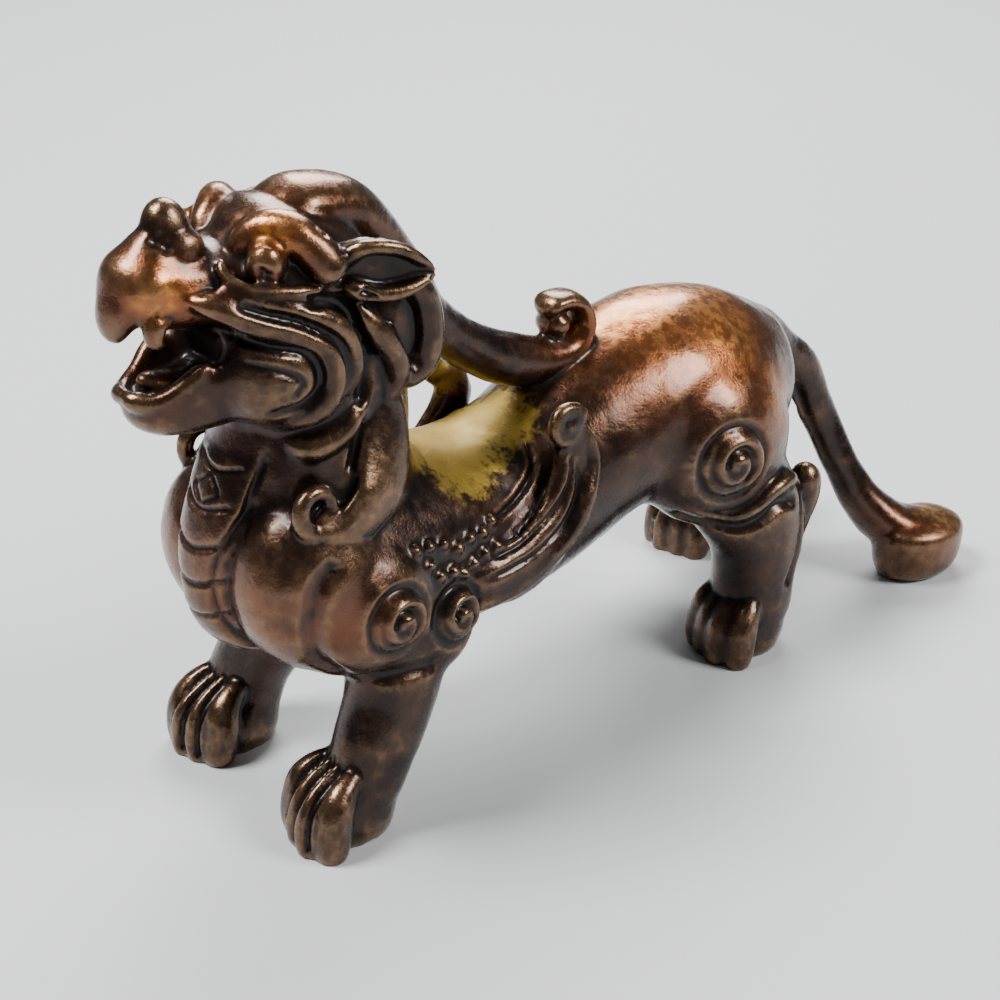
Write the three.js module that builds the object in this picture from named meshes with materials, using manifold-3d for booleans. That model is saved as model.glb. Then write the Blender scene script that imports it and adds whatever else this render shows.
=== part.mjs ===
import * as THREE from "three";
import { mergeVertices } from "three/addons/utils/BufferGeometryUtils.js";
import Module from "manifold-3d";

// A small pixiu, a winged lion-like beast, cast in one piece in bronze and standing on its four
// paws and the tuft of its tail. Millimetres, +Z up, the nose towards -Y, its left side towards +X,
// the ground at z = 0.

// Driving dimensions, in millimetres
const figureLength = 109;
const stanceWidth = 21.4;
const hindStride = 14.4;
const forelegThickness = 8.8;
const hindlegThickness = 9.6;
const pawWidth = 10;
const pawLength = 13;
const toeThickness = 3.4;
const neckWidth = 18;
const hornWidth = 5.2;
const hornThickness = 4.6;
const tailThickness = 4.4;
const tuftWidth = 9.4;
const tuftLength = 12.6;
const earLength = 9.6;
const browThickness = 3;
const wingWidth = 6.4;
const wingThickness = 3.4;
const scrollThickness = 1.7;
const foldThickness = 1.9;
const pelletDiameter = 1.8;

// The pose and the carving are laid out on a figure 110 long, so one unit is a 110th of its length.
const unit = figureLength / 110;
// The paws stand a little to the right of the midline.
const standing = (side) => (side * stanceWidth) / 2 / unit - 1.2;
const stride = hindStride / unit;
const sides = [1, -1];

const wasm = await Module();
wasm.setup();

// Makes a closed geometry into a solid: shared corners become one and faces with no area go.
function solid(geometry) {
  geometry.deleteAttribute("normal");
  geometry.deleteAttribute("uv");
  const merged = mergeVertices(geometry, 1e-4);
  const corners = merged.index.array;
  const kept = [];
  for (let i = 0; i < corners.length; i += 3) {
    const [a, b, c] = corners.slice(i, i + 3);
    if (a !== b && b !== c && c !== a) kept.push(a, b, c);
  }
  const vertProperties = new Float32Array(merged.attributes.position.array);
  return new wasm.Manifold(new wasm.Mesh({ numProp: 3, vertProperties, triVerts: new Uint32Array(kept) }));
}

// An egg: centre and three half sizes in units, tipped about X by an angle in degrees.
function egg([x, y, z], [rx, ry, rz], { tip = 0, detail = [12, 8] } = {}) {
  const geometry = new THREE.SphereGeometry(1, detail[0], detail[1]);
  geometry.scale(rx * unit, ry * unit, rz * unit);
  geometry.rotateX(THREE.MathUtils.degToRad(tip));
  geometry.translate(x * unit, y * unit, z * unit);
  return solid(geometry);
}

// A bar with round ends along a smooth path through points in units. Each point has a girth: one
// number, or a half width along `across` and a half thickness, both times `size` in millimetres.
function bar(path, girth, { size = unit, around = 8, steps = 1, across = [1, 0, 0] } = {}) {
  const route = new THREE.CatmullRomCurve3(path.map((p) => new THREE.Vector3(...p).multiplyScalar(unit)));
  const widths = girth.map((g) => new THREE.Vector3(g[0] ?? g, g[1] ?? g, 0).multiplyScalar(size));
  const section = new THREE.CatmullRomCurve3(widths);
  const spans = (path.length - 1) * steps;
  const geometry = new THREE.CapsuleGeometry(1, spans, 1, around, spans);
  const corner = geometry.attributes.position;
  const reference = new THREE.Vector3(...across);
  for (let i = 0; i < corner.count; i++) {
    const along = THREE.MathUtils.clamp(corner.getY(i) / (spans + 2) + 0.5, 0, 1);
    const tangent = route.getTangent(along);
    const width = reference.clone().addScaledVector(tangent, -reference.dot(tangent)).normalize();
    const depth = width.clone().cross(tangent);
    const half = section.getPoint(along);
    const spot = route.getPoint(along);
    spot.addScaledVector(width, corner.getX(i) * half.x);
    spot.addScaledVector(depth, corner.getZ(i) * half.y);
    corner.setXYZ(i, spot.x, spot.y, spot.z);
  }
  return solid(geometry);
}

// The points of a flat spiral on the beast's side, from its rim in to its heart.
function spiral(side, [x, y, z], radius, turns, start, lean = 0) {
  const points = [];
  const count = Math.round(turns * 6);
  for (let i = 0; i <= count; i++) {
    const angle = start + (i / 6) * 2 * Math.PI;
    const reach = radius * (1 - (0.8 * i) / count);
    const up = reach * Math.sin(angle);
    points.push([side * (x - lean * up), y + reach * Math.cos(angle), z + up]);
  }
  return points;
}

// Trunk: a deep chest, a hollow saddle, a narrow waist and a round rump
function trunk() {
  const spine = [
    [0, -47.2, 28.6], [0, -43, 28.4], [0, -37, 28], [0, -29, 25.8], [0, -19, 24], [0, -9, 25.2],
    [0, 1, 29.2], [0, 10, 30.4], [0, 18, 29.4], [0, 23.6, 28.8], [0, 27.4, 28],
  ];
  const girth = [
    [7, 6.4], [9.6, 8.6], [11.8, 10], [12, 10.6], [11, 9.9], [10, 10],
    [10.6, 10.4], [11.8, 11.7], [11.2, 11.3], [9, 9.4], [7, 7],
  ];
  const parts = [bar(spine, girth, { around: 12 })];
  for (const side of sides) parts.push(egg([side * 6, -40, 27.4], [6.8, 7.6, 9.2], { tip: 12, detail: [9, 6] }));
  return parts;
}

// Breast strap: a raised band from the throat down the front of the chest
function breastStrap() {
  const path = [
    [0, -42.2, 42.4], [0, -44.8, 37.5], [0, -47, 32.6], [0, -47.9, 27.4], [0, -46.2, 22.2], [0, -41.5, 18.8],
  ];
  const girth = [[4.2, 1.4], [4.8, 1.6], [5.3, 1.8], [5.4, 1.8], [4.8, 1.6], [3.6, 1.2]];
  return [bar(path, girth, { around: 7 })];
}

// Neck, with a flat ribbon of mane down each side that ends in a curl
function neck() {
  const path = [[0, -36, 28], [0, -35.6, 37], [0, -34.6, 43.5], [0, -35.4, 50]];
  const girth = [[1.2, 1.2], [1.06, 1.12], [0.96, 1.02], [0.98, 1.05]];
  const parts = [bar(path, girth, { size: neckWidth / 2, around: 10 })];
  for (const side of sides) {
    const ribbon = [
      [side * 6.8, -31.4, 46.4], [side * 8.2, -32.4, 41.4], [side * 9.2, -33.6, 37.6],
      [side * 10.3, -36, 34.8], [side * 10.4, -39.6, 34.2], [side * 9.9, -42.6, 36],
    ];
    const ribbonGirth = [[1.2, 2], [1.2, 2.3], [1.2, 2.5], [1.2, 2.2], [1.2, 1.6], [1.1, 1]];
    parts.push(bar(ribbon, ribbonGirth, { around: 6, across: [side, 0, 0] }));
    parts.push(...scroll(side, [10.4, -40.9, 36.3], 1.9, 0.9));
  }
  return parts;
}

// A spiral in relief with a round boss at its heart
function scroll(side, [x, y, z], radius, turns = 1.4) {
  const points = spiral(side, [x, y, z], radius, turns, -Math.PI / 2, 0.12);
  const boss = radius * 0.34;
  return [
    bar(points, points.map(() => 0.5), { size: scrollThickness, around: 4, across: [side, 0, 0] }),
    egg([side * (x - boss * 0.3), y, z], [boss, boss, boss], { detail: [5, 3] }),
  ];
}

// Shoulders and fore legs: a round shoulder, a second scroll at the elbow and a sturdy straight leg
function foreQuarter(side) {
  const foot = standing(side);
  const parts = [
    egg([side * 8, -36, 24.6], [6.4, 8, 7.6], { detail: [10, 8] }),
    egg([side * 9.2, -28.6, 20.8], [4.8, 5, 6.6], { detail: [8, 6] }),
  ];
  const leg = [
    [side * 7.8, -31.6, 24], [side * 9.3, -33.2, 14.5], [foot, -35.8, 8], [foot, -37.8, 0],
  ];
  const legGirth = [[1.1, 1.4], [0.98, 1.14], [0.98, 1.02], [1, 1]];
  parts.push(bar(leg, legGirth, { size: forelegThickness / 2 }));
  parts.push(...paw(side, foot, -39.4));
  parts.push(...scroll(side, [13.8, -35.8, 24.8], 3.7));
  parts.push(...scroll(side, [13.4, -27.4, 21.6], 3));
  return parts;
}

// Thighs and hind legs, with a flame-like ridge down the back of each; the right leg strides back
function hindQuarter(side) {
  const back = side < 0 ? stride : 0;
  const foot = standing(side);
  const parts = [egg([side * 7.6, 12.4 + back * 0.35, 26.8], [6.6, 10.4, 9.8], { tip: -14, detail: [10, 7] })];
  const leg = [
    [side * 7.8, 11.6 + back * 0.5, 25.5], [foot, 17.8 + back * 0.85, 16.5],
    [foot, 18.4 + back, 9], [foot, 17.6 + back, 0],
  ];
  const legGirth = [[1.2, 1.4], [1.04, 1.32], [0.98, 1.06], [1, 1]];
  parts.push(bar(leg, legGirth, { size: hindlegThickness / 2 }));
  const flame = [
    [side * 10.4, 26.4 + back * 0.8, 21], [foot + side * 0.4, 25.2 + back, 17],
    [foot + side * 0.4, 23.4 + back, 11.6], [foot, 22 + back, 6],
  ];
  parts.push(bar(flame, [[1.3, 1.5], [1.6, 2.4], [1.5, 2.2], [1.2, 1.4]], { around: 6 }));
  parts.push(...paw(side, foot, 16.8 + back));
  parts.push(...scroll(side, [13.2, 9.8 + back * 0.35, 26.8], 4.3));
  return parts;
}

// A paw: a low pad and four rounded toes that come down from the instep
function paw(side, x, y) {
  const halfWidth = pawWidth / 2 / unit;
  const halfLength = pawLength / 2 / unit;
  const parts = [egg([x, y + 0.8, 2.4], [halfWidth * 0.98, halfLength * 0.86, 4.4], { detail: [8, 5] })];
  for (let toe = 0; toe < 4; toe++) {
    const spread = (toe - 1.5) / 1.5;
    const toeX = x + side * spread * halfWidth * 0.66;
    const tipY = y - halfLength + 1.6 + Math.abs(spread - 0.2) * 1.1;
    const path = [[toeX - side * spread * 0.9, y - 0.6, 5.2], [toeX, tipY + 0.6, 4], [toeX, tipY + 0.6, -1.6]];
    parts.push(bar(path, [0.42, 0.54, 0.5], { size: toeThickness, around: 5 }));
  }
  return parts;
}

// Tail: it drops from the rump, sways to the left and ends in a tuft that rests on the ground
function tail() {
  const path = [
    [0, 20, 35], [0, 27, 33.8], [0.9, 32.8, 28.6], [2.4, 36, 21.6], [4.8, 38.6, 14.4], [7.8, 41.4, 8.4], [10.4, 45, 5.2],
  ];
  const girth = [[2.4, 1.8], [1.7, 1.5], [1.2, 1.15], [1, 1], [0.95, 0.95], [1, 0.95], [1.1, 0.8]];
  const halfTuft = [tuftWidth / 2 / unit, tuftLength / 2 / unit, 4.4];
  return [bar(path, girth, { size: tailThickness / 2 }), egg([11.2, 46.8, 3], halfTuft, { detail: [12, 6] })];
}

// Horn: one broad band that springs from the crown, sweeps back over the nape, comes to rest on the
// back and curls up there
function horn() {
  const path = [
    [0, -40, 60.8], [0, -35.4, 61.8], [0, -30, 60.2], [0, -24.6, 53.8], [0, -21.4, 48],
    [0, -16, 43], [0, -9.5, 39.6], [0, -3.4, 38.8], [0, -0.6, 41.4], [0, -1.8, 44.2], [0, -4.6, 44.8],
    [0, -5.8, 43.4],
  ];
  const girth = [
    [1.5, 1.1], [1.6, 1.25], [1.4, 1.15], [1.15, 1], [1, 1],
    [0.95, 1.1], [0.95, 1.2], [0.95, 0.9], [0.9, 0.6], [0.85, 0.45], [0.8, 0.42],
    [0.75, 0.4],
  ];
  const shares = girth.map(([w, t]) => [(w * hornWidth) / 2, (t * hornThickness) / 2]);
  return [bar(path, shares, { size: 1 }), egg([0, -4.4, 42.6], [2.2, 1.9, 1.7], { detail: [8, 6] })];
}

// Wings: a crescent along each flank with ridges along it and a curled tip above the back
function wing(side) {
  const middle = [
    [side * 10.8, -27, 24], [side * 11.4, -21, 23], [side * 11.2, -15, 24.6],
    [side * 10.4, -11.4, 28.8], [side * 9.8, -10.2, 33.2], [side * 9.8, -11.2, 37.2],
  ];
  const shape = [[0.7, 0.62], [0.74, 1], [0.74, 1.05], [0.74, 0.95], [0.7, 0.72], [0.6, 0.55]];
  const girth = shape.map(([t, w]) => [(t * wingThickness) / 2, (w * wingWidth) / 2]);
  const parts = [bar(middle, girth, { size: 1, around: 6, across: [side, 0, 0] })];
  for (const offset of [-0.34, 0.3]) {
    const ridge = middle.slice(1, 5).map(([x, y, z], i) => {
      const along = i / 3;
      const shift = offset * wingWidth;
      return [x + side * 0.9, y + shift * along, z - shift * (1 - along)];
    });
    parts.push(bar(ridge, [0.7, 0.85, 0.85, 0.6], { around: 4, across: [side, 0, 0] }));
  }
  parts.push(egg([side * 10.4, -11.6, 36.2], [1.6, 1.5, 1.5], { detail: [6, 4] }));
  // Each pellet's heart lies a third of its radius outside the flank, on the wing's root.
  const radius = pelletDiameter / 2 / unit;
  for (let row = 0; row < 3; row++) {
    for (let column = 0; column < 4 - row / 2; column++) {
      const flank = 11 - column * 0.2 + row * 0.4;
      const y = -30.8 + column * 3.1 + row * 1.7;
      const z = 28.9 - row * 1.9 + Math.sin(column * 1.7) * 0.35;
      parts.push(egg([side * (flank + radius / 3), y, z], [radius, radius, radius], { detail: [5, 3] }));
    }
  }
  return parts;
}

// Head: skull, snout with an upturned nose, open mouth with tusks, and a scooped lower jaw
function head() {
  const snout = [[0, -41, 54.6], [0, -47, 56.8], [0, -51.2, 57.8], [0, -55.6, 57]];
  const jaw = [[0, -42, 48.6], [0, -47, 47.2], [0, -51, 47.4], [0, -55, 48.8]];
  const nose = [[0, -46.6, 60], [0, -47.8, 62.4], [0, -49.4, 63.1], [0, -50.6, 61.6]];
  const tongue = [[0, -46.5, 50.2], [0, -54, 50.4]];
  const parts = [
    egg([0, -38, 54], [8.6, 8.8, 9.4], { detail: [12, 8] }),
    egg([0, -34.6, 48.8], [8.7, 8.1, 9], { detail: [8, 6] }),
    egg([0, -40.4, 60.2], [5.6, 4.2, 3.4], { detail: [8, 5] }),
    bar(snout, [[7.2, 5.4], [6.2, 4.4], [5.8, 4.3], [4.4, 3.2]], { around: 10 }),
    bar(jaw, [[6.4, 4.4], [5.8, 3.4], [5, 2.8], [3.6, 2]], { around: 10 }),
    bar(nose, [2.1, 1.9, 1.8, 1.4], { around: 6 }),
    bar(tongue, [[3, 1.2], [1.6, 0.8]], { around: 5 }),
  ];
  for (const side of sides) parts.push(...sideOfHead(side));
  return parts;
}

// One side of the head: cheek, eye under its brow, ear, tusk, hair lock and three folds
function sideOfHead(side) {
  const parts = [
    egg([side * 5.4, -42, 50], [4.2, 6.4, 6], { detail: [8, 5] }),
    egg([side * 6.6, -43.6, 59.6], [1.9, 1.8, 2.3], { detail: [8, 5] }),
    bar([[side * 3.4, -52.8, 57], [side * 3.4, -53.2, 51.8]], [1.9, 0.7], { around: 6 }),
  ];
  const brow = [
    [side * 3, -44.2, 59.6], [side * 5, -42, 61.2], [side * 7.2, -39.4, 60.4], [side * 8, -37.6, 57.8],
  ];
  parts.push(bar(brow, [0.42, 0.54, 0.56, 0.6], { size: browThickness, around: 6 }));
  const ear = [
    [side * 6.6, -37.4, 57.2], [side * 9.2, -34.6, 58], [side * 10.4, -31.4, 57.4], [side * 10.6, -28.2, 56.6],
  ];
  const earGirth = [[0.18, 0.24], [0.2, 0.31], [0.16, 0.26], [0.06, 0.08]];
  parts.push(bar(ear, earGirth, { size: earLength, around: 6, across: [side, 0, 0] }));
  const lock = [[side * 6.8, -30.6, 56], [side * 7.6, -28.4, 51], [side * 7, -27.6, 45.4]];
  parts.push(bar(lock, [[2, 2.4], [2.2, 2.8], [1.5, 1.8]], { around: 6, across: [side, 0, 0] }));
  const folds = [
    [[5.8, -50.4, 55], [8, -43.4, 54], [8.9, -38.6, 51], [8.4, -38.6, 47], [7.2, -42, 44.8]],
    [[6.6, -46.4, 56.6], [8.4, -40.6, 55.6], [9, -36.8, 52], [8.4, -36.2, 47.4]],
    [[8.4, -35.6, 55.2], [8.9, -32, 50], [7.8, -31.8, 44.4]],
  ];
  for (const points of folds) {
    const path = points.map(([x, y, z]) => [side * x, y, z]);
    const girth = points.map((p, i) => (i === 0 || i === points.length - 1 ? 0.32 : 0.5));
    parts.push(bar(path, girth, { size: foldThickness, around: 4, across: [side, 0, 0] }));
  }
  return parts;
}

function pixiu() {
  const forms = [...trunk(), ...breastStrap(), ...neck(), ...tail(), ...horn(), ...head()];
  for (const side of sides) forms.push(...foreQuarter(side), ...hindQuarter(side), ...wing(side));
  let body = forms[0];
  for (const form of forms.slice(1)) body = body.add(form);
  const above = new THREE.BoxGeometry(2 * figureLength, 2 * figureLength, figureLength);
  above.translate(0, 0, figureLength / 2);
  return body.intersect(solid(above));
}

// The finished casting as a mesh, with the origin on the ground below the middle of its box
const cast = pixiu().getMesh();
const geometry = new THREE.BufferGeometry();
geometry.setAttribute("position", new THREE.BufferAttribute(cast.vertProperties, 3));
geometry.setIndex(new THREE.BufferAttribute(cast.triVerts, 1));
geometry.computeBoundingBox();
const middle = geometry.boundingBox.getCenter(new THREE.Vector3());
geometry.translate(-middle.x, -middle.y, 0);

// Dark brown patina over bronze
const patina = new THREE.MeshStandardMaterial({ color: 0x4a2f22, roughness: 0.35, metalness: 0.9 });

const figure = new THREE.Mesh(geometry, patina);
figure.name = "pixiu_figure";

const group = new THREE.Group();
group.add(figure);
export default group;
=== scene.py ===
import math
import bpy
import numpy as np
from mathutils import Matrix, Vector, noise
from mathutils.bvhtree import BVHTree


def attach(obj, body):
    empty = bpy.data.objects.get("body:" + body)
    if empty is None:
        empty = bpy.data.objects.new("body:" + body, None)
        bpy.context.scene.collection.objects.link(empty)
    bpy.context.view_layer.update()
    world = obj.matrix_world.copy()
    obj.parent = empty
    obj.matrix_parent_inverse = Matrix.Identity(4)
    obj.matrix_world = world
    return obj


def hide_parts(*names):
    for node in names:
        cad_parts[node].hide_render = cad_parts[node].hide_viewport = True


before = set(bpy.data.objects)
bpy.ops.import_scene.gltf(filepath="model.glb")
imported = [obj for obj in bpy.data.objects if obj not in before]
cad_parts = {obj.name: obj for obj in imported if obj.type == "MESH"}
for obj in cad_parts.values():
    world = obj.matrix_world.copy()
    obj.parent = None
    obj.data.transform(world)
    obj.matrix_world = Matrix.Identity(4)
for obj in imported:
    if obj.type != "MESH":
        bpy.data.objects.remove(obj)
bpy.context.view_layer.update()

# Body core. The real figure is modelled in wax by hand and then cast solid in bronze, and its deep
# chest, hollow saddle and round rump are one soft swelling form. The trunk and the two breasts are
# laid down first, and everything else grows out of them.
figure_length = 0.109
unit = figure_length / 110
origin_shift = Vector((0.00063, 0.00121, 0))
sides = (1, -1)
masses = []


def at(point):
    """The place in metres of a point of the layout."""
    return Vector(point) * unit + origin_shift


def deselect():
    bpy.ops.object.select_all(action="DESELECT")


def egg(centre, half, tip=0, into=masses, segments=32):
    """A lump of wax with three half sizes, tipped about the crosswise axis by an angle in degrees."""
    deselect()
    bpy.ops.mesh.primitive_uv_sphere_add(
        segments=segments, ring_count=segments // 2, radius=1, location=at(centre),
        rotation=(math.radians(tip), 0, 0), scale=Vector(half) * unit)
    bpy.ops.object.transform_apply(location=True, rotation=True, scale=True)
    into.append(bpy.context.object)


def smooth_curve(points, shares):
    """Places on a smooth curve through the points, at shares of the way along it."""
    points = np.array(points, float)
    padded = np.vstack([2 * points[0] - points[1], points, 2 * points[-1] - points[-2]])
    place = np.clip(np.asarray(shares, float), 0, 1) * (len(points) - 1)
    first = np.minimum(place.astype(int), len(points) - 2)
    t = (place - first)[:, None]
    a, b, c, d = (padded[first + i] for i in range(4))
    return 0.5 * (2 * b + (c - a) * t + (2 * a - 5 * b + 4 * c - d) * t**2
                  + (3 * b - 3 * c + d - a) * t**3)


def bar(path, girth, across=(1, 0, 0), into=masses, around=24, fine=5):
    """A roll of wax with round ends. Each point has a half width along `across` and a half depth."""
    spans = len(path) - 1
    cap = np.linspace(0, math.pi / 2, fine + 1)
    along = np.concatenate([-spans / 2 - np.cos(cap),
                            np.linspace(-spans / 2, spans / 2, spans * fine + 1)[1:-1],
                            spans / 2 + np.sin(cap)])
    fullness = np.concatenate([np.sin(cap), np.ones(spans * fine - 1), np.cos(cap)])
    shares = along / (spans + 2) + 0.5
    spots = [tuple(at(p)) for p in path]
    step = 0.01
    middle = smooth_curve(spots, shares)
    ahead = smooth_curve(spots, np.clip(shares + step, 0, 1))
    behind = smooth_curve(spots, np.clip(shares - step, 0, 1))
    half = smooth_curve([(g, g) if np.isscalar(g) else g for g in girth], shares) * unit
    points, faces = [], []
    for spot, front, back, (wide, deep), full in zip(middle, ahead, behind, half, fullness):
        tangent = Vector(front - back).normalized()
        width = (Vector(across) - tangent * tangent.dot(Vector(across))).normalized()
        depth = width.cross(tangent)
        for k in range(around):
            turn = 2 * math.pi * k / around
            points.append(Vector(spot) + width * math.cos(turn) * wide * full
                          + depth * math.sin(turn) * deep * full)
    for ring in range(len(middle) - 1):
        low, high = ring * around, (ring + 1) * around
        for k in range(around):
            after = (k + 1) % around
            faces.append((low + k, low + after, high + after, high + k))
    mesh = bpy.data.meshes.new("bar")
    mesh.from_pydata(points, [], faces)
    piece = bpy.data.objects.new("bar", mesh)
    bpy.context.scene.collection.objects.link(piece)
    deselect()
    piece.select_set(True)
    bpy.context.view_layer.objects.active = piece
    bpy.ops.object.mode_set(mode="EDIT")
    bpy.ops.mesh.select_all(action="SELECT")
    bpy.ops.mesh.remove_doubles(threshold=1e-7)
    bpy.ops.mesh.normals_make_consistent(inside=False)
    bpy.ops.object.mode_set(mode="OBJECT")
    into.append(piece)


spine = [(0, -47.2, 28.6), (0, -43, 28.4), (0, -37, 28), (0, -29, 25.8), (0, -19, 24), (0, -9, 25.2),
         (0, 1, 29.2), (0, 10, 30.4), (0, 18, 29.4), (0, 23.6, 28.8), (0, 27.4, 28)]
trunk_girth = [(7, 6.4), (9.6, 8.6), (11.8, 10), (12, 10.6), (11, 9.9), (10, 10),
               (10.6, 10.4), (11.8, 11.7), (11.2, 11.3), (9, 9.4), (7, 7)]
bar(spine, trunk_girth, around=40)
for side in sides:
    egg((side * 6, -40, 27.4), (7.2, 8, 9.4), tip=12)


# Neck and head masses. The neck is a stout column, the skull a ball with a heavy nape, the snout a
# blunt bulb that is lifted, and the lower jaw a scoop below the open mouth. All are built up in wax.
def in_units(millimetres):
    """A real size in the units of the layout, which are a 110th of the figure's length."""
    return millimetres * 0.001 / unit


def sized(half, shares):
    """Half widths and half depths as shares of half a limb's thickness."""
    return [(width * half, depth * half) for width, depth in shares]


neck_half = in_units(18) / 2
bar([(0, -36, 28), (0, -35.6, 37), (0, -34.6, 43.5), (0, -35.4, 50)],
    sized(neck_half, ((1.2, 1.2), (1.06, 1.12), (0.96, 1.02), (0.98, 1.05))))
egg((0, -38, 54), (8.6, 8.8, 9.4))
egg((0, -34.6, 48.8), (8.7, 8.1, 9))
egg((0, -39.6, 60), (6.6, 4.4, 3.6))
# Snout, its bulb, and the lip that hangs at the front as a blunt hook
bar([(0, -40.5, 54.8), (0, -45.5, 56.6), (0, -49.5, 57.2), (0, -52.6, 57.4)],
    [(7.4, 5.6), (5.5, 4.2), (4.5, 3.9), (4.2, 3.7)])
egg((0, -51.7, 58.1), (4.3, 3.8, 3.7))
egg((0, -50.2, 60.8), (2.8, 2.8, 2.4))
bar([(0, -52, 58), (0, -54.1, 56.8), (0, -54.8, 55), (0, -54.4, 52.9)],
    [(3.2, 2.2), (2.6, 1.7), (2.1, 1.4), (1.2, 0.9)])
# Lower jaw with its side walls, and the cheeks
bar([(0, -42, 47.6), (0, -47, 46.3), (0, -51, 46), (0, -54.6, 47.2)],
    [(6.4, 4.2), (5.2, 2.6), (4.1, 2.1), (3, 1.7)])
for side in sides:
    bar([(side * 1.8, -53.6, 46.8), (side * 2.8, -51.6, 47.2), (side * 3.8, -49.2, 48.4),
         (side * 4.8, -46.6, 50)], [(1, 1.3), (1.1, 1.6), (1.3, 2.1), (1.4, 2.4)])
for side in sides:
    egg((side * 5.2, -41.6, 49.4), (4.2, 5.9, 5.8))

# Legs. Fore legs are straight pillars below round shoulders; hind legs have full thighs with a
# flame-like ridge behind, and the right one strides back. Each stands on a broad pad of wax.
stance_width = in_units(21.4)
hind_stride = in_units(14.4)
fore_half = in_units(8.8) / 2
hind_half = in_units(9.6) / 2
fore_paw_y = -39.4
hind_paw_y = 16.8
# The paws keep a little to the right of the midline
midline_shift = 1.2


def standing(side):
    """Where a leg stands across the figure."""
    return side * stance_width / 2 - midline_shift


def paw_middle(side, y):
    """A paw's middle lies a little beside its leg's, most of all at the left fore leg."""
    return standing(side) + (0.2 if side < 0 or y > 0 else -0.5)


for side in sides:
    foot = standing(side)
    back = hind_stride if side < 0 else 0
    # Shoulder, elbow and fore leg
    egg((side * 8, -36, 24.6), (6.6, 8.2, 7.8))
    egg((side * 9.2, -28.6, 21), (4.8, 5, 6.4))
    bar([(side * 7.8, -31.6, 24), (side * 9.3, -33.2, 14.5), (foot, -36.2, 8),
         (paw_middle(side, fore_paw_y), -38.2, 1.4)],
        sized(fore_half, ((1.1, 1.4), (0.98, 1.14), (0.94, 0.98), (0.9, 0.94))))
    # Thigh, hind leg and the ridge behind it
    egg((side * 7.6, 12.4 + back * 0.35, 26.8), (6.6, 10.4, 9.8), tip=-14)
    bar([(side * 7.8, 11.6 + back * 0.5, 25.5), (foot, 17.8 + back * 0.85, 16.5),
         (foot, 18.4 + back, 9), (foot, 17.6 + back, 1.2)],
        sized(hind_half, ((1.2, 1.4), (1.04, 1.32), (0.98, 1.06), (1, 1))))
    bar([(side * 10, 25.6 + back * 0.8, 20.6), (foot + side * 0.4, 24.8 + back, 16.6),
         (foot + side * 0.4, 22.8 + back, 11.4), (foot, 21.4 + back, 6)],
        [(1.3, 1.5), (1.6, 2.2), (1.5, 2.0), (1.2, 1.4)])
    for y in (fore_paw_y, hind_paw_y + back):
        egg((paw_middle(side, y), y + 0.5, 2.2), (4.3, 5.2, 4.6))
# The root of the tail swells out of the rump
bar([(0, 18, 34.6), (0, 24.5, 34.4), (0.4, 30, 31), (1.4, 34.2, 25.6)],
    [(5.4, 3.8), (4.2, 3.4), (2.9, 2.7), (2.4, 2.4)])


# The body. All these masses run into each other without a seam, as the wax does under the thumb:
# they are fused into one skin and rubbed smooth before any detail is put on.
def join(pieces, name):
    deselect()
    for piece in pieces:
        piece.select_set(True)
    bpy.context.view_layer.objects.active = pieces[0]
    bpy.ops.object.join()
    bpy.context.object.name = name
    return bpy.context.object


def finish_with(kind, **settings):
    """Puts a modifier on the active piece, sets it and applies it."""
    piece = bpy.context.object
    modifier = piece.modifiers.new(kind, kind)
    for key, value in settings.items():
        setattr(modifier, key, value)
    bpy.ops.object.modifier_apply(modifier=modifier.name)


def skin_tree(mesh):
    """The faces of a mesh, ready to have lines of sight cast at them."""
    return BVHTree.FromPolygons([v.co for v in mesh.vertices],
                                [tuple(f.vertices) for f in mesh.polygons])


body_voxel = 0.00055
body = join(masses, "body")
finish_with("REMESH", mode="VOXEL", voxel_size=body_voxel)
finish_with("SMOOTH", factor=0.5, iterations=14)
body_skin = skin_tree(body.data)
# Lines of sight start this many units out, clear of the figure
well_outside = 30


def on_body(side, y, z, out):
    """The point of the body's flank at y and z, raised a little off it."""
    spot = body_skin.ray_cast(at((side * well_outside, y, z)), Vector((-side, 0, 0)))[0]
    return ((spot.x - origin_shift.x) / unit + side * out, y, z)


# Head features. A nose knob with two nostrils, bulging eyes under rolled brows, cupped pointed ears,
# canine teeth, lips and tongue, and the rolled folds of the cheek, all raised in the wax as rolls
# that are pressed on and smoothed in.
details = []


def raised(side, points, girth, flat=False, around=24):
    """A roll on one side of the figure; the points are those of its left side."""
    bar([(side * x, y, z) for x, y, z in points], girth,
        across=(side, 0, 0) if flat else (1, 0, 0), into=details, around=around)


egg((0, -49, 62.2), (2.2, 2.3, 3), tip=10, into=details)
for side in sides:
    egg((side * 1.7, -48.4, 60.8), (1.5, 2.1, 1.9), into=details, segments=20)
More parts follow.
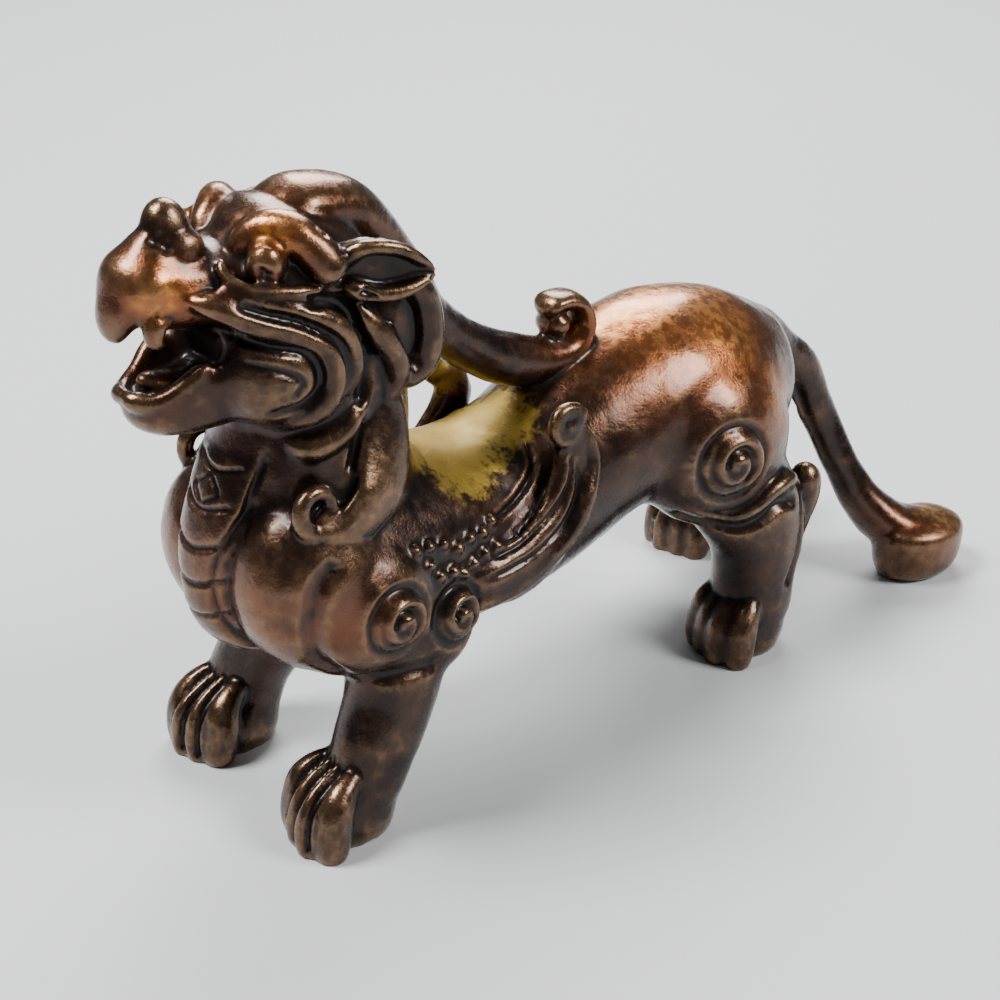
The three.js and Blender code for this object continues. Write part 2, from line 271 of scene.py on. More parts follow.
# Tongue
bar([(0, -45, 48.2), (0, -50, 48.5), (0, -53.2, 49.4)], [(2.8, 1.3), (2.2, 1), (0.9, 0.9)],
    into=details)
for side in sides:
    # Eyeball, brow roll with a knob behind it, and the lid's rim below the eye
    egg((side * 6.1, -42.9, 59.6), (1.8, 1.8, 2), into=details)
    raised(side, [(2.4, -44.6, 58.8), (3.3, -42.8, 61), (4.7, -41, 61.9), (6.6, -39.4, 61),
                  (7.9, -38, 58.9), (8.3, -37, 57.4)], [1, 1.5, 1.8, 1.8, 1.8, 1.8])
    raised(side, [(4, -46.2, 60.4), (5.2, -46.5, 58.9), (6.9, -45.2, 57.7), (8.2, -42.2, 57.3),
                  (8.7, -38.8, 56.6)], [0.5, 0.65, 0.7, 0.7, 0.55])
    # Three rolled folds that sweep back from the snout and round the cheek, and one below the jaw
    raised(side, [(4.4, -50, 57.2), (5.9, -47.6, 56.5), (7.1, -45, 55), (8.1, -41.4, 53.3),
                  (8.7, -38.7, 51.1), (8.6, -38.2, 47.9), (8, -40.2, 45.6), (6.9, -43.6, 44.9)],
           [0.9, 1.3, 1.4, 1.5, 1.6, 1.6, 1.4, 0.8])
    raised(side, [(5.4, -47.8, 58.2), (7, -45.2, 56.6), (8.4, -41.4, 55.5), (9, -37.9, 53.2),
                  (9, -36.2, 49.7), (8.6, -36.6, 45.6)], [0.6, 0.85, 1.05, 1.2, 1.1, 0.4])
    raised(side, [(8.2, -35.9, 55.4), (9.1, -33.6, 51.8), (9.1, -31.5, 48.4), (8.4, -31.2, 46),
                  (7.9, -32.4, 43.4)], [0.7, 1.15, 1.2, 1.05, 0.5])
    raised(side, [(8.4, -34.2, 45.8), (8.1, -36.8, 42.9), (7.4, -39.8, 41.6), (5.8, -42, 42.2)],
           [0.6, 1.2, 1.4, 0.7])
    # Rim of the lower lip, and the blunt canine
    raised(side, [(-0.6, -54.3, 48.2), (1.2, -54.2, 48.1), (2.6, -52.8, 48), (3.5, -50.8, 48.9),
                  (4.7, -48.2, 51.2)], [0.8, 0.9, 0.85, 0.9, 1.1])
    raised(side, [(2.8, -51.8, 56), (3, -52.4, 54.4), (2.9, -52.2, 52.9)],
           [(1.2, 1.5), (1.1, 1.3), (0.7, 0.8)])
    # Ear: two rims and the thin shell between them, which leaves a deep hollow
    raised(side, [(7.6, -37, 58.4), (9.4, -34.8, 60), (10.6, -31.6, 59.4), (11.2, -28.2, 57)],
           [0.9, 0.7, 0.65, 0.4])
    raised(side, [(7.9, -36.6, 56.6), (9.8, -34.2, 55.7), (10.8, -31.4, 55.7), (11.2, -28.2, 56.6)],
           [1, 0.75, 0.7, 0.4])
    raised(side, [(5.8, -37, 57.4), (8, -34.6, 57.8), (9.3, -31.6, 57.6), (10.8, -28.6, 56.9)],
           [(1, 2), (0.9, 2.7), (0.7, 2.3), (0.4, 0.6)], flat=True)
    # Hair lock: a drooping loop below the ear's tip, closed by a sunken web
    raised(side, [(8, -32.4, 54.6), (8.3, -30.2, 55.8), (8.5, -27.9, 53.8), (8.3, -27.1, 50),
                  (7.9, -27.9, 46.9), (8, -29.9, 46.2), (8.3, -31.4, 48.4), (8.4, -32, 51.8)],
           [1, 1.2, 1.4, 1.55, 1.55, 1.4, 1, 0.9])
    raised(side, [(6.6, -30, 55), (6.7, -29.6, 51), (6.7, -29.8, 47)],
           [(1.4, 2.6), (1.5, 2.8), (1.3, 2.4)], flat=True)

# Horn. One broad band that springs from the crown, sweeps over the nape, rests on the back and curls
# up there with a boss in its eye. It is rolled by itself in wax and set on.
horn_half_width = 2.6
horn_half_depth = 2.3
horn_path = [(0, -40, 60.8), (0, -35.4, 61.8), (0, -30, 60.2), (0, -24.6, 53.8), (0, -21.4, 48),
             (0, -16, 43), (0, -9.5, 39.6), (0, -3.4, 38.8), (0, -0.6, 41.4), (0, -1.8, 44.2),
             (0, -4.6, 44.8), (0, -5.8, 43.4)]
horn_shares = [(1.5, 1.1), (1.6, 1.25), (1.4, 1.15), (1.15, 1), (1, 1), (0.95, 1.1), (0.95, 1.2),
               (0.95, 0.9), (0.9, 0.6), (0.85, 0.45), (0.8, 0.42), (0.75, 0.4)]
bar(horn_path, [(in_units(width * horn_half_width), in_units(depth * horn_half_depth))
                for width, depth in horn_shares], into=details)
egg((0, -4.4, 42.4), (2.2, 1.6, 1.5), into=details)

# Mane ribbon and breast strap. Flat bands in relief: the ribbon falls from behind the cheek down the
# side of the neck and rolls into a curl on the breast; the strap runs down the front of the chest.
bar([(0, -42.2, 42.4), (0, -44.8, 37.5), (0, -47, 32.6), (0, -47.9, 27.4), (0, -46.2, 22.2),
     (0, -41.5, 18.8)], [(4.8, 1.4), (4.6, 1.7), (4, 1.9), (3.1, 1.9), (3.2, 1.8), (3.6, 1.4)],
    into=details)


def curl(side, centre, radius, turns, thickness, start=-math.pi / 2, way=1, boss=0):
    """A band's end rolled up on the figure's side, round a boss that is a share of its radius."""
    x, y, z = centre
    lean = 0.12
    roll_in = 0.72
    per_turn = 12
    steps = round(turns * per_turn)
    points = []
    for i in range(steps + 1):
        angle = start + way * i / per_turn * 2 * math.pi
        reach = radius * (1 - roll_in * i / steps)
        up = reach * math.sin(angle)
        points.append((side * (x - lean * up), y + reach * math.cos(angle), z + up))
    girth = [thickness * (1 - 0.35 * i / steps) for i in range(steps + 1)]
    bar(points, girth, across=(side, 0, 0), into=details, around=12, fine=2)
    if boss:
        egg((side * (x - boss * radius * 0.3), y, z), (boss * radius,) * 3, into=details, segments=16)


for side in sides:
    raised(side, [(6.8, -31.6, 46.4), (8.1, -32.6, 42), (9.2, -33.4, 39), (10.2, -34.8, 36.4),
                  (10.5, -37.6, 34.6), (10.3, -40.4, 34), (9.6, -42.6, 35)],
           [(1.1, 2.2), (1.1, 3.1), (1.1, 3.2), (1.1, 2.9), (1.1, 2.2), (1.1, 1.5), (1.1, 0.9)],
           flat=True, around=32)
    curl(side, (9.8, -41.2, 36.6), 2.5, turns=1.1, thickness=1, way=-1)

# Wings. A crescent along each flank, its feathers drawn as long ridges that end in a curl above the
# back, with rows of small pellets of wax at its root.
wing_half_thickness = 1.7
wing_half_width = 3.2
pellet_radius = in_units(0.66)
wing_path = [(10.8, -27, 24), (11.4, -21, 23), (11.2, -15, 24.6), (10.4, -11.4, 28.8),
             (9.8, -10.2, 33.2), (9.8, -11.2, 37.2)]
wing_shares = [(0.7, 0.62), (0.74, 1), (0.74, 1.05), (0.74, 0.95), (0.7, 0.72), (0.6, 0.55)]
wing_girth = [(in_units(thickness * wing_half_thickness), in_units(width * wing_half_width))
              for thickness, width in wing_shares]
pellets = [(-31.8, 29.9), (-30, 29.6), (-28.2, 29.2), (-30.4, 27.9), (-29.3, 26.4), (-27.6, 26.3),
           (-26.2, 25.6), (-26.4, 28.2), (-24.6, 28.5), (-22.8, 28.4), (-21.2, 28.9), (-24.6, 26),
           (-23, 26.4), (-21.3, 26.6)]
for side in sides:
    raised(side, wing_path, wing_girth, flat=True)
    # The bold quill along the lower edge, the curl at the tip, and the pellets
    raised(side, [(10.2, -9.4, 36), (10.4, -8.2, 32), (11.4, -9.8, 28.6), (11.6, -12.6, 25),
                  (11.5, -18, 22.2), (11.5, -23.4, 21.4), (11.2, -27.4, 22.2)],
           [0.8, 1, 1.15, 1.3, 1.3, 1.2, 0.7])
    curl(side, (10.2, -11.4, 36), 2.2, turns=1.25, thickness=0.95, start=0, boss=0.6)
    for y, z in pellets:
        egg(on_body(side, y, z, 0.15), (pellet_radius,) * 3, into=details, segments=12)

# Hem, flame ridge and toes. The thigh ends in a raised hem that closes in a lobe at the knee's back,
# a flame-like ridge runs down the leg from there, and each paw has four toes, all rolls of wax.
hem = [(4.2, 22.4, 0), (7.4, 20.9, 0.1), (10.8, 19.8, 0.2), (13.2, 20.5, 0.2), (16, 21.9, 0.2),
       (18.6, 22, 0.1), (20, 20.8, -0.2)]
for side in sides:
    back = hind_stride if side < 0 else 0
    bar([on_body(side, y + back * (0.3 + 0.02 * y), z, out) for y, z, out in hem],
        [0.4, 0.6, 0.75, 0.85, 0.95, 1.15, 0.8], into=details)
    bar([(side * 11, 24.6 + back * 0.8, 21.2), (side * 10.8, 24.8 + back * 0.9, 17.4),
         (side * 10.4, 23 + back, 12), (side * 10, 21.4 + back, 6)],
        [(1.7, 1.7), (1.8, 1.9), (1.7, 1.8), (1.3, 1.4)], into=details)
    for y in (fore_paw_y, hind_paw_y + back):
        middle = paw_middle(side, y)
        for toe in range(4):
            # From -1 at the inner toe to 1 at the outer one
            spread = (toe - 1.5) / 1.5
            toe_x = middle + side * spread * 3.1
            tip_y = y - 6 + abs(spread - 0.2) * 1.2
            bar([(middle + side * spread * 1.8, y + 1.4, 8.2), (middle + side * spread * 2.7, y - 2, 6.3),
                 (toe_x, tip_y + 1.5, 3.8), (toe_x, tip_y + 0.9, -1.5)],
                [0.8, 1.6, 1.9, 1.75], into=details)

# Tail. A round rod from the rump that sways to the left and flares into a blunt tuft, which stands
# on the ground and is rounded off below. The rod is pressed onto the tuft and smoothed in.
bar([(0, 24, 34), (0.9, 32.8, 28.6), (2.4, 36, 21.6), (4.6, 38.4, 15), (6.6, 40.6, 10),
     (8.8, 43.6, 6.3), (11.2, 47.2, 4.7), (13, 50.4, 3.8)],
    [(3, 2.6), (2.6, 2.5), (2.2, 2.2), (2.2, 2.1), (2.9, 2.5), (4.2, 3), (4.9, 3.2), (4.9, 3)],
    into=details)
bar([(11.1, 46.4, -0.9), (11.1, 46.5, 1.6), (11.3, 46.7, 4.6), (11.4, 46.9, 7.8)],
    [(3.2, 4.6), (4.5, 5.9), (4.9, 6.4), (4.6, 6.1)], into=details, around=40)

# The casting. Details and body are fused into one skin. Once cast, it is chased: grooves are cut with
# small chisels and the hollows are sunk with punches, and the soles are filed flat where it stands.
casting_voxel = 0.00028
most_triangles = 190000
figure = join([body] + details, "pixiu_casting")
finish_with("REMESH", mode="VOXEL", voxel_size=casting_voxel)
finish_with("SMOOTH", factor=0.5, iterations=7)
bpy.ops.object.mode_set(mode="EDIT")
bpy.ops.mesh.select_all(action="SELECT")
bpy.ops.mesh.bisect(plane_co=(0, 0, 0), plane_no=(0, 0, 1), use_fill=True, clear_inner=True)
# Only the soles that the cut closed are still selected
bpy.ops.mesh.quads_convert_to_tris()
bpy.ops.object.mode_set(mode="OBJECT")
skin = figure.data


def vertex_rows(name):
    """The places or the normals of the skin's vertices, a row for each."""
    values = np.empty(len(skin.vertices) * 3)
    skin.vertices.foreach_get(name, values)
    return values.reshape(-1, 3)


skin_points = (vertex_rows("co") - np.array(origin_shift)) / unit
skin_normals = vertex_rows("normal")
surface = skin_tree(skin)


def laid(points, look):
    """Points of a line laid on the skin, seen along a direction."""
    step_back = 0.05
    longest_gap = 2.2
    line = []
    for point in smooth_curve(points, np.linspace(0, 1, 12 * len(points))):
        start = at(point) - Vector(look) * step_back
        spot, _, _, _ = surface.ray_cast(start, Vector(look))
        if spot is not None:
            spot = tuple((spot - origin_shift) / unit)
            # A point that falls past an edge onto what lies behind is left out
            if not line or math.dist(spot, line[-1]) < longest_gap:
                line.append(spot)
    return line


def chase(line, width, depth, fade=True):
    """Cuts a groove into the skin along a line, or raises a welt where the depth is below zero."""
    line = np.array(line)
    near = np.all((skin_points > line.min(0) - width) & (skin_points < line.max(0) + width), axis=1)
    index = np.where(near)[0]
    gap = np.linalg.norm(skin_points[index, None, :] - line[None, :, :], axis=2)
    closest = gap.argmin(1)
    reach = gap.min(1) / width
    touched = reach < 1
    bite = depth * (1 - reach[touched] ** 2) ** 2
    if fade:
        along = closest[touched] / max(1, len(line) - 1)
        bite = bite * np.minimum(1, 4 * np.sin(np.pi * along) + 0.15)
    skin_points[index[touched]] -= skin_normals[index[touched]] * bite[:, None]


def from_side(side, points, width, depth, fade=True):
    """Chases a line that is drawn on the side view, as pairs of y and z."""
    line = laid([(side * well_outside, y, z) for y, z in points], (-side, 0, 0))
    if len(line) > 1:
        chase(line, width, depth, fade)


full_turn = np.linspace(0, 2 * np.pi, 25)


def ring(y, z, radius):
    return [(y + radius * np.cos(t), z + radius * np.sin(t)) for t in full_turn]


def spiral(y, z, outer, inner, turns):
    steps = 32
    line = []
    for i in range(steps + 1):
        reach = outer + (inner - outer) * i / steps
        turn = -1.2 + turns * 2 * np.pi * i / steps
        line.append((y + reach * np.cos(turn), z + reach * np.sin(turn)))
    return line


for side in sides:
    back = hind_stride if side < 0 else 0
    # Head: eye socket and pupil
    chase([(side * (6.6 + 1.4 * np.cos(t)), -43.3 + 1.9 * np.cos(t), 59.6 + 2.3 * np.sin(t))
           for t in full_turn], 0.8, 0.5, fade=False)
    chase([(side * 7.3, -44.2, 59.3), (side * 7.6, -43.8, 58.9)], 0.8, 0.4, fade=False)
    # Hollows between the folds, lines on the cheek, the mouth's corner
    from_side(side, [(-47, 57), (-44.6, 55.9), (-41.2, 54.4), (-38.2, 52), (-37.3, 48.8), (-38, 45.6)],
              0.8, 0.6)
    from_side(side, [(-41, 56.4), (-37, 55), (-35.1, 51.6), (-34.5, 48), (-35.4, 44.6)], 1.1, 0.8)
    from_side(side, [(-35.6, 56.4), (-32.4, 52.4), (-30.4, 48.6), (-30.4, 45.4)], 0.9, 0.7)
    from_side(side, [(-48, 54), (-44.6, 52.7), (-41, 51.4), (-40, 48.6), (-41.6, 46.9),
                     (-44.6, 46.4)], 0.7, 0.45)
    from_side(side, [(-46.6, 51.4), (-44, 50.6), (-41.9, 49.2), (-42.7, 47.8)], 0.6, 0.3)
    from_side(side, [(-52, 54.4), (-50, 53.6), (-48, 52.8)], 1, 0.8)
    # Horn: a hollow along each flank of the band
    from_side(side, [(-38.6, 62), (-34.6, 62), (-30.2, 59.6), (-25.4, 54), (-21.8, 47.8),
                     (-16.4, 43), (-9.6, 39.8)], 1.3, 0.7)
    # Ribbon: a groove along its inner edge
    from_side(side, [(-35, 43.6), (-36.2, 41.2), (-37.2, 39)], 0.6, 0.6)
    # Shoulder: the creases that set it off from the breast and from the leg
    from_side(side, [(-40.6, 32), (-43.2, 30), (-44, 26), (-42.8, 21.8), (-39.6, 18.4)], 1.6, 0.75)
    from_side(side, [(-39.4, 18.4), (-36.4, 18), (-33, 18), (-30.6, 17.6)], 1.3, 0.5)
    # Wing: fine lines between its feathers, each with a slight welt beside it
    for line in ([(-11.2, 33.4), (-11.8, 30.7), (-14.1, 28.4), (-18.5, 26.4), (-22.4, 25.7)],
                 [(-10.6, 32.5), (-11.2, 29.2), (-13.4, 26.6), (-18.1, 24.7), (-23.4, 24)],
                 [(-12.6, 33), (-13.6, 31), (-16.9, 29.4), (-20.6, 28.6)]):
        from_side(side, line, 0.55, 0.38)
        from_side(side, [(y - 0.35, z + 0.55) for y, z in line], 0.55, -0.14)
    # Scrolls on shoulder, elbow and thigh: a groove round a raised rim that runs in to a boss
    for y, z, radius in ((-35.4, 24.4, 3.5), (-27.8, 22, 3), (10 + back * 0.35, 26.6, 4.3)):
        from_side(side, ring(y, z, radius), 0.8, 0.45, fade=False)
        from_side(side, spiral(y, z, radius * 0.78, radius * 0.12, 1.6), 0.24 * radius, -0.6)
        from_side(side, spiral(y, z, radius * 0.56, radius * 0.3, 0.7), 0.22 * radius, 0.45)
        from_side(side, [(y - 0.2, z), (y + 0.2, z)], 0.36 * radius, -0.5, fade=False)
    # Nostrils
    chase([(side * 1.7, -50.9, 62), (side * 2.1, -50.3, 61.5)], 1, 0.5, fade=False)
    # Hind leg: the hollow beside the flame ridge, and the one below the hem
    from_side(side, [(22 + back * 0.8, 23), (22 + back, 18), (20.8 + back, 12), (19.4 + back, 8)],
              1.2, 0.7)
    from_side(side, [(5 + back * 0.4, 20.6), (8 + back * 0.5, 18.9), (11.4 + back * 0.5, 17.8),
                     (14 + back * 0.6, 18.4), (17 + back * 0.7, 19.8), (20 + back * 0.8, 19)],
              1.2, 0.75)
    # Toes: deep clefts from the instep to the sole, seen from before the paw and a little above
    for y in (fore_paw_y, hind_paw_y + back):
        middle = paw_middle(side, y)
        for cleft in (-1, 0, 1):
            chase(laid([(middle + side * cleft * out, y - 12, z)
                        for out, z in ((1.4, 12), (1.8, 9), (2.1, 5), (2.1, 2.6))],
                       (0, 0.95, -0.31)), 0.65, 0.7)

# Breast: the edges of the strap, the bands across it and a lozenge, cut from the front
well_before = -60
from_front = (0, 1, 0)
for side in sides:
    edge = ((4.9, 41.6), (4.6, 38.2), (4.2, 34.6), (3.2, 31), (2.8, 27), (3, 23.4), (3.6, 20))
    chase(laid([(side * x, well_before, z) for x, z in edge], from_front), 0.7, 0.4)
for z in (38.6, 35.2, 31.6, 28, 24.4):
    band = ((-3.6, well_before, z + 0.8), (0, well_before, z), (3.6, well_before, z + 0.8))
    chase(laid(band, from_front), 0.5, 0.35)
right, top, left, low = (-2, 36.8), (0, 38.2), (2, 36.8), (0, 35.6)
for (x, z), (end_x, end_z) in ((right, top), (top, left), (right, low), (low, left)):
    chase(laid([(x, well_before, z), (end_x, well_before, end_z)], from_front), 0.4, 0.25)

# Modelled by hand, no face is quite even: slow swells and smaller ripples, in units
swell_length, swell_height = 4.5, 0.16
ripple_length, ripple_height = 1.7, 0.045
waves = np.array([noise.noise(Vector(p) / swell_length) * swell_height
                  + noise.noise(Vector(p) / ripple_length) * ripple_height for p in skin_points])
skin_points += skin_normals * waves[:, None]
# Nothing sinks below the ground
skin_points[:, 2] = np.maximum(skin_points[:, 2], 0)
skin.vertices.foreach_set("co", (skin_points * unit + np.array(origin_shift)).ravel())
skin.update()
finish_with("SMOOTH", factor=0.5, iterations=1)
finish_with("DECIMATE", ratio=min(1, most_triangles / (2 * len(skin.polygons))))
bpy.ops.object.shade_smooth()

# Finish. Cast bronze, patinated dark brown with heat and sulphur and waxed. Years of hands have rubbed
# the high places to copper red and gold, and the saddle is bare brass. The hollows are painted nearly
# black, partly for the patina that stays there and partly as painted shade, and the face of the ribbon
# has a painted highlight. Each vertex carries how much it stands out or lies deep, and the rubbed areas.
count = len(skin.vertices)
skin_points = vertex_rows("co")
skin_normals = vertex_rows("normal")
edges = np.empty(len(skin.edges) * 2, int)
skin.edges.foreach_get("vertices", edges)
edges = edges.reshape(-1, 2)
neighbours = np.bincount(edges.ravel(), minlength=count)[:, None]


def spread_out(values, rounds):
    """Averages each vertex's values with its neighbours', over and over."""
    values = values.copy()
    for _ in range(rounds):
        total = np.zeros_like(values)
        for axis in range(values.shape[1]):
            total[:, axis] = (np.bincount(edges[:, 0], values[edges[:, 1], axis], count)
                              + np.bincount(edges[:, 1], values[edges[:, 0], axis], count))
        values = 0.5 * values + 0.5 * total / neighbours
    return values


def standing_out(rounds):
    """How far each vertex stands out of its surroundings, in millimetres."""
    return ((skin_points - spread_out(skin_points, rounds)) * skin_normals).sum(1) * 1000


def ramp(values, low, high):
    share = np.clip((values - low) / (high - low), 0, 1)
    return share * share * (3 - 2 * share)


def keep(name, values):
    """Stores a value from 0 to 1 for each vertex, which the material reads."""
    attribute = skin.attributes.new(name, "FLOAT", "POINT")
    attribute.data.foreach_set("value", np.clip(values, 0, 1).astype(np.float32))


def rubbed(spots):
    """Soft round areas, each with its place, radius and strength."""
    total = np.zeros(count)
    for x, y, z, radius, strength in spots:
        gap = np.linalg.norm(skin_points - np.array(at((x, y, z))), axis=1) / (radius * unit)
        total = np.maximum(total, strength * np.exp(-gap**2))
    return total


def both(x, y, z, radius, strength):
    """The same area on the left and on the right."""
    return [(side * x, y, z, radius, strength) for side in sides]


fine_relief = standing_out(6)
broad_relief = standing_out(50)
# Painted highlight on the face of the ribbon; the rest is wear on what stands out
ribbon_highlight_spots = (both(11, -34.4, 38.6, 3.2, 0.75) + both(11, -36.6, 35.2, 3.2, 0.75)
                + both(11, -39.6, 33.6, 3.2, 0.75))
keep("proud_wear_and_sheen", ramp(fine_relief, 0.02, 0.09) * 0.8 + ramp(broad_relief, 0.2, 0.6) * 0.3
     + rubbed(ribbon_highlight_spots))
# Painted shade on the lip hook, in the mouth, the ears and the corners of the eyes
painted_shade_spots = ([(0, -54.4, 53.2, 1.9, 0.9), (0, -50, 51.8, 2.6, 1), (0, -46, 51.4, 3.4, 1)]
               + both(9.6, -32, 57.6, 1.5, 1) + both(7.6, -44.2, 58.2, 0.9, 0.9))
# Darkness of the hollows: partly the patina that stays there, partly painted shade
keep("hollow", np.maximum.reduce([ramp(-fine_relief, 0.01, 0.06), ramp(-broad_relief, 0.1, 0.4),
                                  rubbed(painted_shade_spots)]))
# Snout and tongue, back and rump, crown, tuft, brows and breasts
copper_spots = [(3.6, -52.4, 58.4, 3.2, 1), (4.4, -49.6, 56.6, 2.4, 0.6), (0, -54, 59, 3.6, 0.4),
                (0, -50, 49.8, 4, 0.3), (0, 6, 41, 9, 1), (0, 15, 42, 9, 1), (6, 14, 39, 8, 0.9),
                (-6, 14, 39, 8, 0.8), (11.6, 18, 32, 5, 0.9), (-11.6, 20, 32, 5, 0.7),
                (0, -35, 64, 4.6, 0.5), (0, -27, 58.6, 4, 0.3), (11.4, 48, 5.5, 6.5, 0.5)]
copper_spots += (both(6, -41.5, 62.4, 3.6, 0.9) + both(7, -47, 26, 5.5, 0.35)
                 + both(12, -40.5, 25, 4.6, 0.3))
keep("copper", rubbed(copper_spots))
# Breast, throat and the front of the snout
keep("mauve", rubbed([(0, -49, 33, 9, 0.9), (0, -46, 40, 6, 0.8), (0, -55, 57, 4.5, 0.9)]
                     + both(8, -46, 25, 8, 0.5)))
# Saddle, the tip of the right wing, tuft and left hock
keep("brass", rubbed([(0, -26, 33.5, 6.4, 1), (0, -19.5, 33, 7, 1), (0, -13.4, 33, 5.4, 1),
                      (-9.6, -11.4, 37.6, 4.4, 0.9), (12.4, 48.4, 6, 5.6, 0.42),
                      (11.4, 17.5, 12, 3.4, 0.36)] + both(5, -22, 33, 4.6, 0.9)))


def linear(colour):
    """An sRGB hex colour as a linear one."""
    parts = [int(colour[i:i + 2], 16) / 255 for i in (1, 3, 5)]
    return tuple(c / 12.92 if c <= 0.04045 else ((c + 0.055) / 1.055) ** 2.4 for c in parts) + (1,)


def node(tree, kind, settings=None, links=None):
    """Adds a node; settings are properties or sockets, links are socket and the output to join to it."""
    new = tree.nodes.new(kind)
    for key, value in (settings or {}).items():
        if isinstance(key, int) or key in new.inputs:
            new.inputs[key].default_value = value
        else:
            setattr(new, key, value)
    for key, output in (links or {}).items():
        tree.links.new(output, new.inputs[key])
    return new


# Cast bronze: a metal, so most of its light is mirrored, under wax that adds a thin clear gloss. The
# patina is not metal, which takes a little of the mirror away.
bronze = bpy.data.materials.new("cast_bronze_dark_waxed_patina")
bronze.use_nodes = True
tree = bronze.node_tree
shader = tree.nodes["Principled BSDF"]
place = node(tree, "ShaderNodeTexCoord").outputs["Object"]
amount = {name: node(tree, "ShaderNodeAttribute", {"attribute_name": name}).outputs["Fac"]
          for name in ("proud_wear_and_sheen", "hollow", "copper", "mauve", "brass")}
# Clouds of patina 4 mm across, blotches of 1 mm and grain of 0.25 mm
clouds, blotches, grain = (
    node(tree, "ShaderNodeTexNoise", {"Scale": 1000 / size, "Detail": detail, "Roughness": roughness},
         {"Vector": place}).outputs["Fac"]
    for size, detail, roughness in ((4, 5, 0.6), (1000 / 900, 4, 0.6), (0.25, 3, 0.7)))
# Where hands rub most the copper is bright, and the brass has a ragged edge
bright_copper = node(tree, "ShaderNodeMapRange", {"interpolation_type": "SMOOTHSTEP", "From Min": 0.45,
                                                  "From Max": 1}, {"Value": amount["copper"]})
ragged = node(tree, "ShaderNodeMapRange", {"interpolation_type": "SMOOTHSTEP", "From Min": 0.3,
                                           "From Max": 0.7, "To Min": 0.6, "To Max": 1.3},
              {"Value": blotches})
brassy = node(tree, "ShaderNodeMath", {"operation": "MULTIPLY"},
              {0: amount["brass"], 1: ragged.outputs["Result"]})
# The finish from the first coat to the last. Each layer has the area that it keeps to, if any, the
# pattern that breaks it up, the range of the pattern, the least and most of the layer, and its colour.
layers = (
    (None, clouds, 0.35, 0.68, 0, 1, "#382319"),
    (amount["mauve"], clouds, 0.25, 0.6, 0, 1, "#4b2f2b"),
    (None, blotches, 0.55, 0.8, 0, 0.5, "#4d3a28"),
    (amount["copper"], clouds, 0.2, 0.55, 0.55, 1, "#935224"),
    (bright_copper.outputs["Result"], blotches, 0.35, 0.75, 0, 1, "#d38a3a"),
    (None, brassy.outputs[0], 0.25, 0.5, 0, 0.95, "#8b722b"),
    # Lighter where what stands out is worn, and a painted highlight on the face of the ribbon
    (amount["proud_wear_and_sheen"], blotches, 0.3, 0.7, 0.35, 1, "#775a40"),
    # Near black in the hollows: partly the patina that stays there, partly painted shade
    (amount["hollow"], grain, 0.2, 0.6, 0.75, 1, "#120b08"),
    # Dark specks where the patina filled the pores
    (None, grain, 0.68, 0.8, 0, 0.25, "#1d130d"),
)
under = None
for area, pattern, low, high, least, most, colour in layers:
    share = node(tree, "ShaderNodeMapRange", {"interpolation_type": "SMOOTHSTEP", "From Min": low,
                                              "From Max": high, "To Min": least, "To Max": most},
                 {"Value": pattern}).outputs["Result"]
    if area:
        share = node(tree, "ShaderNodeMath", {"operation": "MULTIPLY"}, {0: area, 1: share}).outputs[0]
    # Sockets 6 and 7 are the colours below and above
    mix = node(tree, "ShaderNodeMix", {"data_type": "RGBA", 6: linear("#1f130e"), 7: linear(colour)},
               {0: share, 6: under} if under else {0: share})
    under = mix.outputs[2]
tree.links.new(under, shader.inputs["Base Color"])
shader.inputs["Metallic"].default_value = 0.85
# Roughness: uneven all over, dull in the hollows and on the bare brass
roughness = node(tree, "ShaderNodeMath", {"operation": "MULTIPLY_ADD", 1: 0.35, 2: 0.09}, {0: blotches})
for area, more in (("hollow", 0.3), ("brass", 0.36)):
    roughness = node(tree, "ShaderNodeMath", {"operation": "MULTIPLY_ADD", 1: more},
                     {0: amount[area], 2: roughness.outputs[0]})
tree.links.new(roughness.outputs[0], shader.inputs["Roughness"])
# Wax, which is rubbed off where the brass is bare
waxed = node(tree, "ShaderNodeMath", {"operation": "MULTIPLY_ADD", 1: -0.33, 2: 0.35},
             {0: amount["brass"]})
tree.links.new(waxed.outputs[0], shader.inputs["Coat Weight"])
shader.inputs["Coat Roughness"].default_value = 0.18
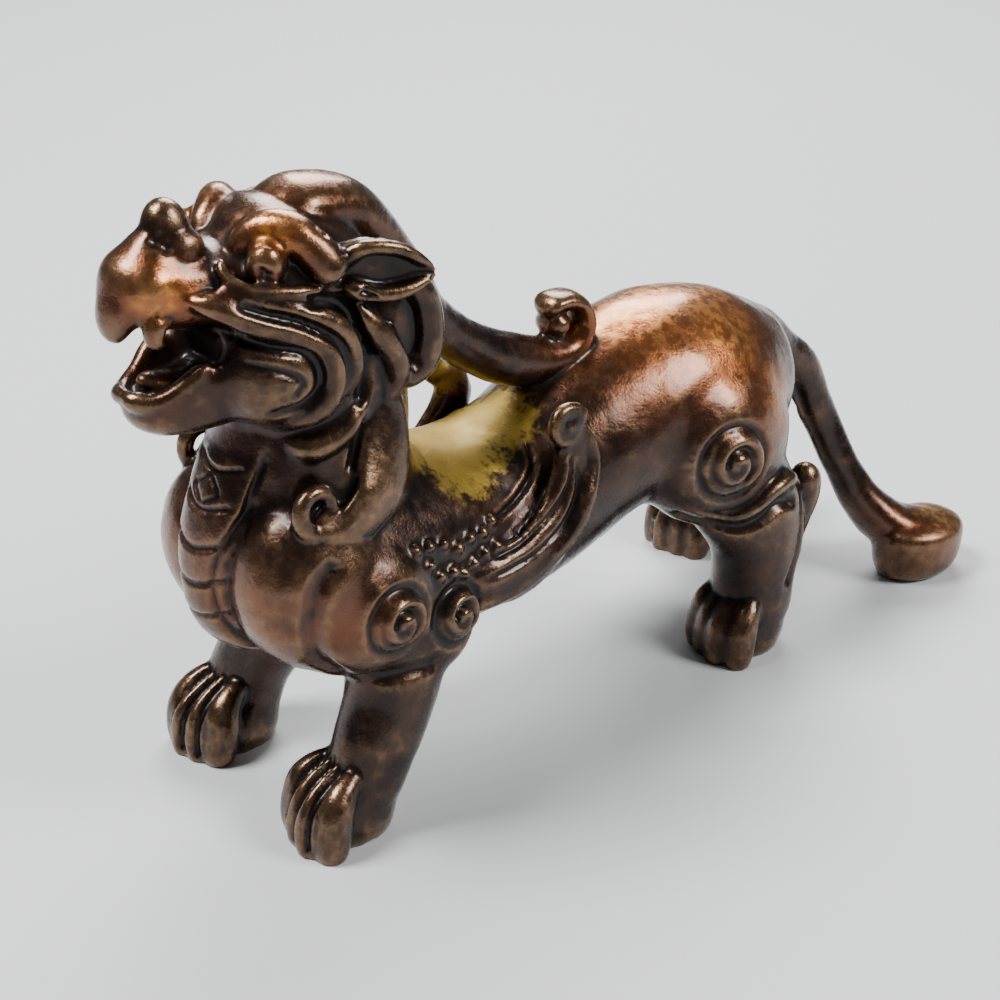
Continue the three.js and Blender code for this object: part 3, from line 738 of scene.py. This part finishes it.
# Fine unevenness of the patina, 0.22 mm deep at most
grainy = node(tree, "ShaderNodeMapRange", {"interpolation_type": "SMOOTHSTEP", "From Min": 0.3,
                                           "From Max": 0.7, "To Min": 0.2, "To Max": 0.6},
              {"Value": clouds})
grain_height = node(tree, "ShaderNodeMath", {"operation": "MULTIPLY"},
                    {0: grain, 1: grainy.outputs["Result"]})
relief = node(tree, "ShaderNodeMath", {"operation": "ADD"}, {0: blotches, 1: grain_height.outputs[0]})
bump = node(tree, "ShaderNodeBump", {"Strength": 0.35, "Distance": 0.00022},
            {"Height": relief.outputs[0]})
tree.links.new(bump.outputs[0], shader.inputs["Normal"])
figure.data.materials.clear()
figure.data.materials.append(bronze)
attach(figure, "root")
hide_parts("pixiu_figure")

# Studio. A plain pale floor of paper, three soft lamps and the camera at the photograph's place, with
# the lens that its perspective gives. None of it is part of the figure.
deselect()
bpy.ops.mesh.primitive_plane_add(size=2, location=(0, 0, 0))
floor = bpy.context.object
floor.name = "floor"
paper = bpy.data.materials.new("pale_paper")
paper.use_nodes = True
paper.node_tree.nodes["Principled BSDF"].inputs["Base Color"].default_value = linear("#b4b5b6")
paper.node_tree.nodes["Principled BSDF"].inputs["Roughness"].default_value = 0.8
floor.data.materials.append(paper)

camera_data = bpy.data.cameras.new("camera")
camera_data.lens = 68.4
camera_data.sensor_width = 36
camera_data.clip_start = 0.01
camera = bpy.data.objects.new("camera", camera_data)
bpy.context.scene.collection.objects.link(camera)
camera.location = Vector((0.13632, -0.12584, 0.1145)) + origin_shift
camera.rotation_euler = (math.radians(63), 0, math.radians(50))
bpy.context.scene.camera = camera


def lamp(name, place, size, power):
    """A square soft lamp that is aimed at the middle of the figure."""
    data = bpy.data.lights.new(name, "AREA")
    data.size = size
    data.energy = power
    light = bpy.data.objects.new(name, data)
    bpy.context.scene.collection.objects.link(light)
    light.location = place
    aim = Vector((0, 0, 0.03))
    light.rotation_euler = (aim - Vector(place)).to_track_quat("-Z", "Y").to_euler()


lamp("key", (-0.14, -0.26, 0.5), 0.2, 6.5)
lamp("window", (0.42, 0.25, 0.42), 0.22, 5)
lamp("back", (-0.32, 0.28, 0.4), 0.3, 5)
world = bpy.data.worlds.new("room")
world.use_nodes = True
world.node_tree.nodes["Background"].inputs["Color"].default_value = linear("#c8cdd2")
world.node_tree.nodes["Background"].inputs["Strength"].default_value = 0.26
bpy.context.scene.world = world
